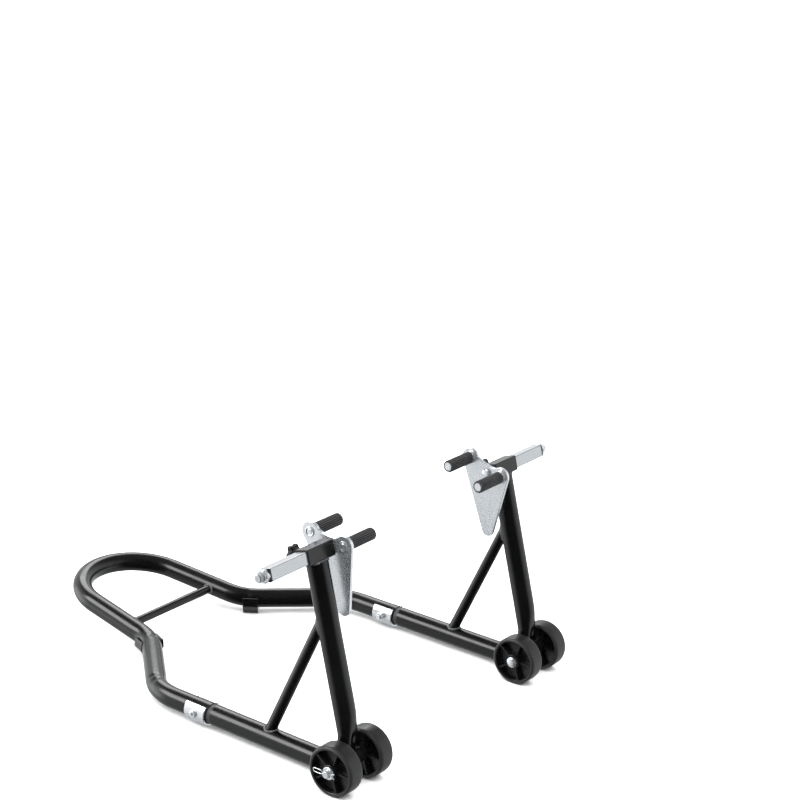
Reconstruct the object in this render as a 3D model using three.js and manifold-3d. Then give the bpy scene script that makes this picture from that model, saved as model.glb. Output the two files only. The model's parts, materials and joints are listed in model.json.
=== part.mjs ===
import * as THREE from 'three';
import { mergeVertices } from 'three/addons/utils/BufferGeometryUtils.js';
import Module from 'manifold-3d';

// Front paddock stand, in millimetres, +Z up. Inside the file Y is counted from the wheel axle line
// towards the handle, X runs across the stand and Z is the height over the floor. At the end the whole
// stand is moved so that its origin is the bottom centre of its bounding box.

// ---- Driving dimensions ----
const TUBE_D = 34;
const TUBE_WALL = 2;
const TUBE_SIDES = 12;
const BRACE_D = 18;
const CLEARANCE = 0.3;
const HALF_TRACK = 246;
const HEEL = { y: -10, z: 20.5 };
const HEEL_BEND = 52;
const LEAN = THREE.MathUtils.degToRad(15.2);
const UPRIGHT_LENGTH = 341;
const ARM_END_Y = 266;
const FLARE_START = { y: 390, z: 25 };
const FLARE_END = { x: 117.5, y: 523.5, z: 27.5 };
const FLARE_BEND = 90;
const LEG_TAPER = THREE.MathUtils.degToRad(6.8);
const LEG_RISE = 0.127;
const LOOP_BEND = 100.5;
const CROSS_BRACE_Y = 583;
const CROSS_BRACE_R = 7.5;
const FOOT_LENGTH = 27;
const FEET = {
  left: { x: -123, y: 523, z: 27.4, turn: 22 },
  right: { x: 129.5, y: 513, z: 27.4, turn: -36 },
};

const WHEEL_R = 40;
const WHEEL_W = 30;
const HUB_W = 34;
const WHEEL_OFFSET = 37.5;
const WHEEL_RIBS = 5;
const AXLE_R = 6;

const RECEIVER = 25;
const RECEIVER_LENGTH = 60;
const SLIDE = 20;
const SECTION_WALL = 2;
const SLIDE_INNER_X = 212;
const SLIDE_OUTER_X = 357;

const PLATE_T = 6;
const PLATE_OUTER_X = 211;
const PIN_SPAN = 63;
const PIVOT_AT = { u: -8, v: -8 };
const TAIL_AT = { u: -46, v: -98 };
const LOBE_R = 15.5;
const TAIL_R = 11;
const PLATE_TILT = { left: THREE.MathUtils.degToRad(6), right: THREE.MathUtils.degToRad(19) };
const PIN_R = 7;
const SLEEVE_R = 10;
const SLEEVE_LENGTH = 59;
const PIVOT_BOLT_R = 6.5;

const tubeR = TUBE_D / 2;
const armSlope = (FLARE_START.z - HEEL.z) / (FLARE_START.y - HEEL.y);
const armZ = (y) => HEEL.z + armSlope * (y - HEEL.y);
const head = {
  y: HEEL.y + UPRIGHT_LENGTH * Math.sin(LEAN),
  z: HEEL.z + UPRIGHT_LENGTH * Math.cos(LEAN),
};
const axle = { y: 0, z: WHEEL_R };

// ---- Materials ----
const finish = (name, color, roughness, metalness) =>
  new THREE.MeshStandardMaterial({ name, color, roughness, metalness });
const powderCoat = () => finish('powder_coat', 0x1b1b1d, 0.35, 0.2);
const zincPlate = () => finish('zinc_plate', 0xd3dbe2, 0.35, 0.85);
const blackRubber = () => finish('rubber', 0x141414, 0.8, 0);
const wheelPlastic = () => finish('wheel_plastic', 0x29292b, 0.5, 0);
const knobPlastic = () => finish('knob_plastic', 0x161617, 0.45, 0);

// ---- Solids: closed meshes, cut and joined ----
const wasm = await Module();
wasm.setup();

// One closed body from any three.js geometry: shared corners merged, empty triangles dropped.
function closedMesh(geometry) {
  const bare = geometry.clone();
  bare.deleteAttribute('normal');
  bare.deleteAttribute('uv');
  const merged = mergeVertices(bare, 1e-4);
  const corners = merged.index.array;
  const kept = [];
  for (let i = 0; i < corners.length; i += 3) {
    const [a, b, c] = corners.slice(i, i + 3);
    if (a !== b && b !== c && c !== a) kept.push(a, b, c);
  }
  merged.setIndex(kept);
  return merged;
}

function toSolid(geometry) {
  const mesh = closedMesh(geometry);
  return new wasm.Manifold(new wasm.Mesh({
    numProp: 3,
    vertProperties: Float32Array.from(mesh.attributes.position.array),
    triVerts: Uint32Array.from(mesh.index.array),
  }));
}

function toGeometry(solid) {
  const mesh = solid.getMesh();
  const geometry = new THREE.BufferGeometry();
  geometry.setAttribute('position', new THREE.BufferAttribute(mesh.vertProperties, 3));
  geometry.setIndex(new THREE.BufferAttribute(mesh.triVerts, 1));
  return geometry;
}

const cut = (geometry, tools) =>
  toGeometry(tools.reduce((solid, tool) => solid.subtract(toSolid(tool)), toSolid(geometry)));
const join = (geometry, additions) =>
  toGeometry(additions.reduce((solid, extra) => solid.add(toSolid(extra)), toSolid(geometry)));

// ---- Shape helpers ----
const V = (x, y, z) => new THREE.Vector3(x, y, z);

// A path through stations: straight between them, with each section square to the station's tangent.
class StationPath extends THREE.Curve {
  constructor(stations) {
    super();
    this.stations = stations;
  }
  blend(t, key, target) {
    const last = this.stations.length - 1;
    const i = Math.min(Math.floor(t * last + 1e-9), last - 1);
    return target.lerpVectors(this.stations[i][key], this.stations[i + 1][key], t * last - i);
  }
  getPoint(t, target = V(0, 0, 0)) {
    return this.blend(t, 'point', target);
  }
  getTangent(t, target = V(0, 0, 0)) {
    return this.blend(t, 'tangent', target).normalize();
  }
  getPointAt(u, target) {
    return this.getPoint(u, target);
  }
  getTangentAt(u, target) {
    return this.getTangent(u, target);
  }
}

// Stations along a line of corners, each inner corner rounded with its own bend radius.
function bentStations(corners, radii, segments) {
  const heading = (i) => corners[i + 1].clone().sub(corners[i]).normalize();
  const stations = [{ point: corners[0], tangent: heading(0) }];
  for (let i = 1; i < corners.length - 1; i += 1) {
    const into = heading(i - 1);
    const out = heading(i);
    const turn = into.angleTo(out);
    const radius = radii[i - 1];
    const start = corners[i].clone().addScaledVector(into, -radius * Math.tan(turn / 2));
    const side = out.clone().addScaledVector(into, -Math.cos(turn)).normalize();
    for (let k = 0; k <= segments[i - 1]; k += 1) {
      const angle = (turn * k) / segments[i - 1];
      const along = radius * Math.sin(angle);
      const across = radius * (1 - Math.cos(angle));
      stations.push({
        point: start.clone().addScaledVector(into, along).addScaledVector(side, across),
        tangent: into.clone().multiplyScalar(Math.cos(angle)).addScaledVector(side, Math.sin(angle)),
      });
    }
  }
  const end = corners.length - 1;
  stations.push({ point: corners[end], tangent: heading(end - 1) });
  return stations;
}

function circleShape(radius, holeRadius = 0) {
  const shape = new THREE.Shape().absarc(0, 0, radius, 0, 2 * Math.PI);
  if (holeRadius > 0) shape.holes.push(new THREE.Path().absarc(0, 0, holeRadius, 0, 2 * Math.PI, true));
  return shape;
}

function sweep(stations, shape, sides = TUBE_SIDES) {
  return new THREE.ExtrudeGeometry(shape, {
    extrudePath: new StationPath(stations),
    steps: stations.length - 1,
    curveSegments: sides / 2,
  });
}

const straight = (from, to) => bentStations([from, to], [], []);
const rod = (from, to, radius, sides = 16) => sweep(straight(from, to), circleShape(radius), sides);

// A shape drawn in X and Y, extruded along +Z, turned so that it is drawn in Y and Z along +X.
const yzExtrude = (shape, depth, curveSegments = 8) =>
  new THREE.ExtrudeGeometry(shape, { depth, curveSegments, bevelEnabled: false })
    .applyMatrix4(new THREE.Matrix4().makeBasis(V(0, 1, 0), V(0, 0, 1), V(1, 0, 0)));

// A turned piece: profile points are [radius, position along the axis], and the axis is X.
function turned(profile, sides = 20) {
  const points = profile.map(([radius, along]) => new THREE.Vector2(radius, along));
  return new THREE.LatheGeometry([...points, points[0].clone()], sides).rotateZ(-Math.PI / 2);
}

function squareRing(size, wall) {
  const half = size / 2;
  const inner = half - wall;
  const shape = new THREE.Shape([
    [-half, -half], [half, -half], [half, half], [-half, half],
  ].map(([u, v]) => new THREE.Vector2(u, v)));
  shape.holes.push(new THREE.Path([
    [-inner, -inner], [-inner, inner], [inner, inner], [inner, -inner],
  ].map(([u, v]) => new THREE.Vector2(u, v))));
  return shape;
}

function hexShape(acrossFlats, holeRadius) {
  const radius = acrossFlats / Math.sqrt(3);
  const corners = Array.from({ length: 6 }, (_, i) =>
    new THREE.Vector2(radius * Math.cos((i * Math.PI) / 3), radius * Math.sin((i * Math.PI) / 3)));
  const shape = new THREE.Shape(corners);
  shape.holes.push(new THREE.Path().absarc(0, 0, holeRadius, 0, 2 * Math.PI, true));
  return shape;
}

// ---- The stand ----
const stand = new THREE.Group();

// Adds one named sub-part. Pieces of the right side are the mirror image of the left ones.
function add(name, geometry, material, parent = stand) {
  const mesh = new THREE.Mesh(geometry, material);
  mesh.name = name;
  parent.add(mesh);
  return mesh;
}

const sides = [
  { name: 'left', sign: -1, tilt: PLATE_TILT.left },
  { name: 'right', sign: 1, tilt: PLATE_TILT.right },
];

// Where the handle's legs would meet if they ran on: one bend there makes the loop.
const legRun = FLARE_END.x / Math.tan(LEG_TAPER);
const loopCorner = V(0, FLARE_END.y + legRun, FLARE_END.z + legRun * LEG_RISE);
const flareCorner = (sign) => V(sign * FLARE_END.x, FLARE_END.y, FLARE_END.z);
const shoulder = (sign) => V(sign * HALF_TRACK, FLARE_START.y, FLARE_START.z);
const COLLAR = { ring: 8, ringR: 16.3, insert: 38, saddle: 40, plate: 3, boltR: 4, headT: 3 };
const handleEndY = ARM_END_Y + COLLAR.ring + 2 * CLEARANCE;
const saddleY = handleEndY + COLLAR.saddle / 2 + 1;
const armPoint = (sign, y) => V(sign * HALF_TRACK, y, armZ(y));
const crossBolt = (sign, radius) => {
  const reach = tubeR + 20;
  const at = armPoint(sign, saddleY);
  return rod(V(at.x - reach, at.y, at.z), V(at.x + reach, at.y, at.z), radius, 12);
};

function handleStations() {
  const corners = [
    armPoint(-1, handleEndY), shoulder(-1), flareCorner(-1), loopCorner,
    flareCorner(1), shoulder(1), armPoint(1, handleEndY),
  ];
  const bends = [FLARE_BEND, FLARE_BEND, LOOP_BEND, FLARE_BEND, FLARE_BEND];
  return bentStations(corners, bends, [4, 4, 12, 4, 4]);
}

function handleLoop() {
  const tube = sweep(handleStations(), circleShape(tubeR, tubeR - TUBE_WALL));
  return cut(tube, sides.map(({ sign }) => crossBolt(sign, COLLAR.boltR + CLEARANCE)));
}
add('handle_loop', handleLoop(), powderCoat());

// The thin brace across the handle, coped to the two legs.
function legPoint(sign, y) {
  const run = y - FLARE_END.y;
  return V(sign * (FLARE_END.x - run * Math.tan(LEG_TAPER)), y, FLARE_END.z + run * LEG_RISE);
}
const legSolid = (sign) => rod(legPoint(sign, FLARE_END.y), legPoint(sign, 660), tubeR + CLEARANCE);
function crossBrace() {
  const line = straight(legPoint(-1, CROSS_BRACE_Y), legPoint(1, CROSS_BRACE_Y));
  const tube = sweep(line, circleShape(CROSS_BRACE_R, CROSS_BRACE_R - 1.5), 12);
  return cut(tube, [legSolid(-1), legSolid(1)]);
}
add('cross_brace', crossBrace(), powderCoat());

// Saddle foot under the tube, in the middle of each inner bend, standing on the floor.
function footShape(drop) {
  const grip = tubeR + 2 * CLEARANCE;
  const wall = 3.5;
  const rise = THREE.MathUtils.degToRad(18);
  const rim = (radius) => [radius * Math.cos(rise), radius * Math.sin(rise)];
  const [tipX, tipZ] = rim(grip + wall);
  const shape = new THREE.Shape();
  shape.moveTo(-tipX, tipZ);
  shape.lineTo(-grip - wall, -8);
  shape.lineTo(-12, -grip - 1);
  shape.lineTo(-7.5, -drop);
  shape.lineTo(7.5, -drop);
  shape.lineTo(12, -grip - 1);
  shape.lineTo(grip + wall, -8);
  shape.lineTo(tipX, tipZ);
  shape.lineTo(...rim(grip));
  shape.absarc(0, 0, grip, rise, -Math.PI - rise, true);
  shape.closePath();
  return shape;
}

function foot({ x, y, z, turn }) {
  const at = V(x, y, z);
  const angle = THREE.MathUtils.degToRad(turn);
  const along = V(-Math.sin(angle), -Math.cos(angle), 0);
  const across = V(-along.y, along.x, 0);
  const start = at.clone().addScaledVector(along, -FOOT_LENGTH / 2);
  const solid = new THREE.ExtrudeGeometry(footShape(at.z), {
    depth: FOOT_LENGTH, curveSegments: 8, bevelEnabled: false,
  });
  const placed = solid.applyMatrix4(new THREE.Matrix4().makeBasis(across, V(0, 0, 1), along))
    .translate(start.x, start.y, start.z);
  return cut(placed, [sweep(handleStations(), circleShape(tubeR + CLEARANCE))]);
}

// One tube makes the arm, the heel bend and the upright. It is notched for the bush of the axle.
function frameStations(sign) {
  const top = UPRIGHT_LENGTH - RECEIVER / 2 - CLEARANCE;
  const corners = [
    armPoint(sign, ARM_END_Y),
    V(sign * HALF_TRACK, HEEL.y, HEEL.z),
    V(sign * HALF_TRACK, HEEL.y + top * Math.sin(LEAN), HEEL.z + top * Math.cos(LEAN)),
  ];
  return bentStations(corners, [HEEL_BEND], [12]);
}

const BUSH = { half: 19.5, r: 11 };
function sideFrame(sign) {
  const tube = sweep(frameStations(sign), circleShape(tubeR, tubeR - TUBE_WALL));
  const x = sign * HALF_TRACK;
  const notch = rod(V(x - 30, axle.y, axle.z), V(x + 30, axle.y, axle.z), BUSH.r + CLEARANCE, 24);
  return cut(tube, [notch]);
}

// Diagonal brace from the arm to the upright, coped to both.
const BRACE_FOOT = { y: 154.5, z: 39.4 };
const BRACE_TOP = { y: 72.6, z: 223.3 };
function sideBrace(sign) {
  const x = sign * HALF_TRACK;
  const run = V(0, BRACE_TOP.y - BRACE_FOOT.y, BRACE_TOP.z - BRACE_FOOT.z).normalize();
  const foot = V(x, BRACE_FOOT.y, BRACE_FOOT.z).addScaledVector(run, -12);
  const top = V(x, BRACE_TOP.y, BRACE_TOP.z).addScaledVector(run, 26);
  const arm = rod(armPoint(sign, 60), armPoint(sign, ARM_END_Y), tubeR + CLEARANCE, 12);
  const lean = V(0, Math.sin(LEAN), Math.cos(LEAN));
  const heel = V(x, HEEL.y, HEEL.z);
  const upright = rod(
    heel.clone().addScaledVector(lean, 80),
    heel.clone().addScaledVector(lean, 320),
    tubeR + CLEARANCE, 12,
  );
  return cut(sweep(straight(foot, top), circleShape(BRACE_D / 2, BRACE_D / 2 - 1.5)), [arm, upright]);
}

// A joint between arm and handle: a sleeve inside both tubes, with a ring that shows between them.
function jointSleeve(sign) {
  const fit = tubeR - TUBE_WALL - CLEARANCE - 0.4;
  const half = COLLAR.ring / 2;
  const core = turned([
    [fit - 3, -COLLAR.insert - half], [fit, -COLLAR.insert - half], [fit, -half],
    [COLLAR.ringR, -half], [COLLAR.ringR, half], [fit, half],
    [fit, COLLAR.insert + half], [fit - 3, COLLAR.insert + half],
  ]).rotateZ(Math.PI / 2).rotateX(Math.atan(armSlope));
  const at = armPoint(sign, ARM_END_Y + CLEARANCE + half);
  return cut(core.translate(at.x, at.y, at.z), [crossBolt(sign, COLLAR.boltR + CLEARANCE)]);
}

// Saddle strap: a U that wraps the handle's end from below and leaves the top of the tube open.
function saddle(sign) {
  const inner = tubeR + CLEARANCE;
  const outer = inner + COLLAR.plate;
  const lip = THREE.MathUtils.degToRad(48);
  const shape = new THREE.Shape();
  shape.absarc(0, 0, outer, -Math.PI - lip, lip);
  shape.absarc(0, 0, inner, lip, -Math.PI - lip, true);
  shape.closePath();
  const at = armPoint(sign, saddleY);
  const strap = new THREE.ExtrudeGeometry(shape, {
    depth: COLLAR.saddle, curveSegments: 12, bevelEnabled: false,
  }).translate(0, 0, -COLLAR.saddle / 2).rotateX(Math.PI / 2 + Math.atan(armSlope));
  return cut(strap.translate(at.x, at.y, at.z), [crossBolt(sign, COLLAR.boltR + CLEARANCE)]);
}

const saddleFace = tubeR + 2 * CLEARANCE + COLLAR.plate;
const hexSocket = (acrossFlats, depth) => {
  const radius = acrossFlats / Math.sqrt(3);
  return new THREE.CylinderGeometry(radius, radius, depth, 6).rotateZ(Math.PI / 2);
};

// Through bolt of the saddle: low socket head outside, nut inside.
function saddleBolt() {
  const face = -saddleFace;
  const end = saddleFace + 9;
  const body = turned([
    [0, face - COLLAR.headT], [5, face - COLLAR.headT], [7, face - 1], [7, face],
    [COLLAR.boltR, face], [COLLAR.boltR, end], [0, end],
  ], 16);
  const socket = hexSocket(5, 4).translate(face - COLLAR.headT, 0, 0);
  return cut(body, [socket]);
}

function nut(acrossFlats, thickness, holeRadius) {
  return yzExtrude(hexShape(acrossFlats, holeRadius), thickness, 6);
}

// A wheel with a deep recess on both faces, radial ribs and a long hub.
function wheel() {
  const half = WHEEL_W / 2;
  const hubHalf = HUB_W / 2;
  const bore = AXLE_R + CLEARANCE;
  const hub = 12;
  const rim = WHEEL_R - 6.5;
  const web = 3;
  const body = turned([
    [bore, -hubHalf], [hub, -hubHalf], [hub, -web], [rim - 0.5, -web], [rim, -half],
    [WHEEL_R - 3, -half], [WHEEL_R, 3 - half], [WHEEL_R, half - 3], [WHEEL_R - 3, half],
    [rim, half], [rim - 0.5, web], [hub, web], [hub, hubHalf], [bore, hubHalf],
  ], 24);
  const ribs = Array.from({ length: WHEEL_RIBS }, (_, i) =>
    new THREE.BoxGeometry(WHEEL_W - 6, rim - hub + 1.5, 3)
      .translate(0, (rim + hub) / 2, 0)
      .rotateX(Math.PI + (i * 2 * Math.PI) / WHEEL_RIBS));
  return join(body, ribs);
}

const wheelEdge = WHEEL_OFFSET + HUB_W / 2;
const COTTER = { r: 0.9, spread: 1.1, hole: 2.2, x: wheelEdge + 4.5 };

// Axle through both wheels and the heel of the tube: round head inside, split-pin hole outside.
function wheelAxle() {
  const inner = -wheelEdge - 0.5;
  const outer = wheelEdge + 9;
  const body = turned([
    [0, inner - 4], [7, inner - 4], [9, inner - 2.5], [9, inner], [AXLE_R, inner],
    [AXLE_R, outer - 1], [AXLE_R - 1, outer], [0, outer],
  ]);
  const hole = rod(V(COTTER.x, -12, 0), V(COTTER.x, 12, 0), COTTER.hole, 12);
  return cut(body, [hole]);
}

// Split pin: two legs side by side through the axle, an eye on the handle side, tails bent apart.
function splitPin() {
  const { r, spread, x } = COTTER;
  const eye = { half: 3, near: 11, far: 25 };
  const stations = bentStations([
    V(x, -14, -4), V(x, -7.5, -spread), V(x, 7.5, -spread), V(x, eye.near, -eye.half),
    V(x, eye.far, -eye.half), V(x, eye.far, eye.half), V(x, eye.near, eye.half),
    V(x, 7.5, spread), V(x, -7.5, spread), V(x, -14, 4),
  ], [2, 2, 1.5, 2.8, 2.8, 1.5, 2, 2], [2, 2, 2, 4, 4, 2, 2, 2]);
  return sweep(stations, circleShape(r), 8);
}

const washer = (innerR, outerR, thickness, segments = 20) =>
  turned([[innerR, 0], [outerR, 0], [outerR, thickness], [innerR, thickness]], segments);

// Bush that carries the axle between the two hubs, let into the outside of the heel bend.
const axleBush = () => washer(AXLE_R + CLEARANCE, BUSH.r, 2 * BUSH.half, 24)
  .translate(-BUSH.half, 0, 0);

// Inside the head group the origin is the receiver's centre and Z follows the leaning upright.
function headGroup(sign) {
  const group = new THREE.Group();
  group.position.set(sign * HALF_TRACK, head.y, head.z);
  group.rotation.x = -LEAN;
  stand.add(group);
  return group;
}

const KNOB = {
  x: 5, boss: 9, bossR: 8, studR: 4, reach: 8, depth: 12, r: 15, lobe: 2.4, lobes: 6,
};
function receiver() {
  const tube = yzExtrude(squareRing(RECEIVER, SECTION_WALL), RECEIVER_LENGTH)
    .translate(-RECEIVER_LENGTH / 2, 0, 0);
  const hole = rod(V(KNOB.x, 5, 0), V(KNOB.x, 20, 0), KNOB.studR + CLEARANCE);
  return cut(tube, [hole]);
}

const alongY = (geometry) => geometry.rotateZ(Math.PI / 2);
function clampBoss() {
  return alongY(washer(KNOB.studR + CLEARANCE, KNOB.bossR, KNOB.boss))
    .translate(KNOB.x, RECEIVER / 2 + CLEARANCE, 0);
}

const studTip = SLIDE / 2 + CLEARANCE;
const knobStart = RECEIVER / 2 + KNOB.boss + KNOB.reach;
function knobStud() {
  return rod(V(KNOB.x, studTip, 0), V(KNOB.x, knobStart + KNOB.depth - 3, 0), KNOB.studR);
}

// Star knob: a lobed head on a round collar, blind-bored for the stud.
function starKnob() {
  const points = Array.from({ length: KNOB.lobes * 6 }, (_, i) => {
    const angle = (i * 2 * Math.PI) / (KNOB.lobes * 6);
    const radius = KNOB.r - KNOB.lobe + KNOB.lobe * Math.cos(KNOB.lobes * angle);
    return new THREE.Vector2(radius * Math.cos(angle), radius * Math.sin(angle));
  });
  const star = new THREE.ExtrudeGeometry(new THREE.Shape(points), {
    depth: KNOB.depth - 3, bevelEnabled: false,
  }).rotateX(-Math.PI / 2).translate(KNOB.x, knobStart + 3, 0);
  const collar = alongY(turned([[0, 0], [8, 0], [9, 3.5], [0, 3.5]]))
    .translate(KNOB.x, knobStart, 0);
  const bore = rod(
    V(KNOB.x, knobStart - 1, 0),
    V(KNOB.x, knobStart + KNOB.depth - 3 + CLEARANCE, 0),
    KNOB.studR + CLEARANCE,
  );
  return cut(join(star, [collar]), [bore]);
}

// The slide and everything on its long pivot bolt are drawn for the right side, along +X, from the
// stand's middle plane, and mirrored for the left.
const slideBar = () => yzExtrude(squareRing(SLIDE, SECTION_WALL), SLIDE_OUTER_X - SLIDE_INNER_X)
  .translate(SLIDE_INNER_X, 0, 0);

function slideCap() {
  const hole = PIVOT_BOLT_R + CLEARANCE;
  const plugHalf = SLIDE / 2 - SECTION_WALL - CLEARANCE;
  const flange = new THREE.BoxGeometry(2.5, SLIDE, SLIDE)
    .translate(SLIDE_OUTER_X + CLEARANCE + 1.25, 0, 0);
  const plug = new THREE.BoxGeometry(12, 2 * plugHalf, 2 * plugHalf)
    .translate(SLIDE_OUTER_X - 5, 0, 0);
  return cut(join(flange, [plug]), [rod(V(300, 0, 0), V(380, 0, 0), hole)]);
}

const nutX = SLIDE_OUTER_X + 2.5 + 2 * CLEARANCE;
const NUT_T = 8;
const boltTip = nutX + NUT_T + 9;
function pivotBolt() {
  const face = PLATE_OUTER_X - PLATE_T - CLEARANCE;
  return turned([
    [0, face - 3.5], [5, face - 3.5], [9, face - 1.5], [9, face], [PIVOT_BOLT_R, face],
    [PIVOT_BOLT_R, boltTip - 1], [PIVOT_BOLT_R - 1, boltTip], [0, boltTip],
  ]);
}

// Pin plate: a lobe round each pin, a shallow dip between them and a long round tail.
// u runs from the rear pin to the front pin, v is square to it, and both start midway between them.
const pinU = PIN_SPAN / 2;
function tangentAngle(from, to, fromR, toR) {
  const heading = Math.atan2(to.v - from.v, to.u - from.u);
  const gap = Math.hypot(to.u - from.u, to.v - from.v);
  return { heading, lift: Math.acos((fromR - toR) / gap) };
}

function plateShape() {
  const near = { u: -pinU, v: 0 };
  const far = { u: pinU, v: 0 };
  const toTailFar = tangentAngle(far, TAIL_AT, LOBE_R, TAIL_R);
  const toTailNear = tangentAngle(near, TAIL_AT, LOBE_R, TAIL_R);
  const farAngle = toTailFar.heading + toTailFar.lift;
  const nearAngle = toTailNear.heading - toTailNear.lift;
  const dip = THREE.MathUtils.degToRad(35);
  const shape = new THREE.Shape();
  shape.absarc(far.u, far.v, LOBE_R, farAngle, Math.PI - dip);
  shape.quadraticCurveTo(far.u - LOBE_R - 2, 5.5, 0, 5.5);
  shape.quadraticCurveTo(near.u + LOBE_R + 2, 5.5,
    near.u + LOBE_R * Math.cos(dip), near.v + LOBE_R * Math.sin(dip));
  shape.absarc(near.u, near.v, LOBE_R, dip, nearAngle + 2 * Math.PI);
  shape.absarc(TAIL_AT.u, TAIL_AT.v, TAIL_R, nearAngle + 2 * Math.PI, farAngle + 2 * Math.PI);
  shape.closePath();
  const hole = (u, v, radius) => new THREE.Path().absarc(u, v, radius, 0, 2 * Math.PI, true);
  shape.holes.push(hole(PIVOT_AT.u, PIVOT_AT.v, PIVOT_BOLT_R + CLEARANCE));
  shape.holes.push(hole(-pinU, 0, 5 + CLEARANCE), hole(pinU, 0, 5 + CLEARANCE));
  return shape;
}

const pinPlate = () => yzExtrude(plateShape(), PLATE_T).translate(PLATE_OUTER_X - PLATE_T, 0, 0);

// A pin: riveted ring outside the plate, flange inside it, and the bar that carries the sleeve.
const pinFace = PLATE_OUTER_X - PLATE_T - CLEARANCE;
const flangeT = 4;
const sleeveStart = pinFace - flangeT - CLEARANCE;
const pinTip = sleeveStart - SLEEVE_LENGTH - 0.5;
function liftPin() {
  const outside = PLATE_OUTER_X + CLEARANCE;
  return turned([
    [0, pinTip], [PIN_R - 0.8, pinTip], [PIN_R, pinTip + 0.8], [PIN_R, sleeveStart + CLEARANCE],
    [11, sleeveStart + CLEARANCE], [11, pinFace], [5, pinFace], [5, outside], [8, outside],
    [8, outside + 1.6], [0, outside + 1.6],
  ], 16);
}

function pinSleeve() {
  const inner = PIN_R + CLEARANCE;
  const end = sleeveStart - SLEEVE_LENGTH;
  return turned([
    [inner, end], [SLEEVE_R - 0.7, end], [SLEEVE_R, end + 0.7],
    [SLEEVE_R, sleeveStart], [inner, sleeveStart],
  ], 18);
}

// ---- Assembly ----
// Turns a piece drawn for the right side into the one of the given side.
function mirrored(geometry, sign) {
  if (sign > 0) return geometry;
  const flipped = closedMesh(geometry).scale(-1, 1, 1);
  const corners = flipped.index.array;
  for (let i = 0; i < corners.length; i += 3) {
    [corners[i], corners[i + 1]] = [corners[i + 1], corners[i]];
  }
  return flipped;
}

for (const { name, sign, tilt } of sides) {
  const x = sign * HALF_TRACK;
  add(`side_frame_${name}`, sideFrame(sign), powderCoat());
  add(`side_brace_${name}`, sideBrace(sign), powderCoat());
  add(`foot_${name}`, foot(FEET[name]), powderCoat());
  add(`joint_sleeve_${name}`, jointSleeve(sign), blackRubber());
  add(`saddle_${name}`, saddle(sign), zincPlate());
  const boltAt = armPoint(sign, saddleY);
  add(`saddle_bolt_${name}`, mirrored(saddleBolt(), -sign), zincPlate())
    .position.copy(boltAt);
  const nutFace = sign > 0 ? -saddleFace - 6.5 : saddleFace;
  add(`saddle_nut_${name}`, nut(13, 6.5, COLLAR.boltR + CLEARANCE), zincPlate())
    .position.copy(boltAt).setX(boltAt.x + nutFace);

  add(`wheel_outer_${name}`, wheel(), wheelPlastic())
    .position.set(x + sign * WHEEL_OFFSET, axle.y, axle.z);
  add(`wheel_inner_${name}`, wheel(), wheelPlastic())
    .position.set(x - sign * WHEEL_OFFSET, axle.y, axle.z);
  add(`axle_${name}`, mirrored(wheelAxle(), sign), zincPlate()).position.set(x, axle.y, axle.z);
  add(`split_pin_${name}`, mirrored(splitPin(), sign), zincPlate()).position.set(x, axle.y, axle.z);
  add(`axle_bush_${name}`, axleBush(), powderCoat()).position.set(x, axle.y, axle.z);
  const axleWasher = washer(AXLE_R + CLEARANCE, 10, 2).translate(wheelEdge + 0.5, 0, 0);
  add(`axle_washer_${name}`, mirrored(axleWasher, sign), zincPlate())
    .position.set(x, axle.y, axle.z);

  const top = headGroup(sign);
  add(`receiver_${name}`, mirrored(receiver(), sign), powderCoat(), top);
  add(`clamp_boss_${name}`, mirrored(clampBoss(), sign), powderCoat(), top);
  add(`knob_stud_${name}`, mirrored(knobStud(), sign), zincPlate(), top);
  add(`star_knob_${name}`, mirrored(starKnob(), sign), knobPlastic(), top);

  const slider = new THREE.Group();
  slider.position.set(0, head.y, head.z);
  slider.rotation.x = -LEAN;
  stand.add(slider);
  add(`slide_${name}`, mirrored(slideBar(), sign), zincPlate(), slider);
  add(`slide_cap_${name}`, mirrored(slideCap(), sign), knobPlastic(), slider);
  add(`pivot_bolt_${name}`, mirrored(pivotBolt(), sign), zincPlate(), slider);
  const pivotNut = nut(20, NUT_T, PIVOT_BOLT_R + CLEARANCE).translate(nutX, 0, 0);
  add(`pivot_nut_${name}`, mirrored(pivotNut, sign), zincPlate(), slider);

  const swing = new THREE.Group();
  swing.position.set(0, head.y, head.z);
  swing.rotation.x = tilt;
  const plateParts = new THREE.Group();
  plateParts.position.set(0, -PIVOT_AT.u, -PIVOT_AT.v);
  swing.add(plateParts);
  stand.add(swing);
  add(`pin_plate_${name}`, mirrored(pinPlate(), sign), zincPlate(), plateParts);
  for (const [place, u] of [['front', pinU], ['rear', -pinU]]) {
    add(`lift_pin_${place}_${name}`, mirrored(liftPin(), sign), zincPlate(), plateParts)
      .position.set(0, u, 0);
    add(`pin_sleeve_${place}_${name}`, mirrored(pinSleeve(), sign), blackRubber(), plateParts)
      .position.set(0, u, 0);
  }
}

const box = new THREE.Box3().setFromObject(stand, true);
stand.position.set(
  -(box.min.x + box.max.x) / 2,
  -(box.min.y + box.max.y) / 2,
  -box.min.z,
);

export default stand;
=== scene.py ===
import json
import math

import bmesh
import bpy
from mathutils import Matrix, Vector


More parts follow.
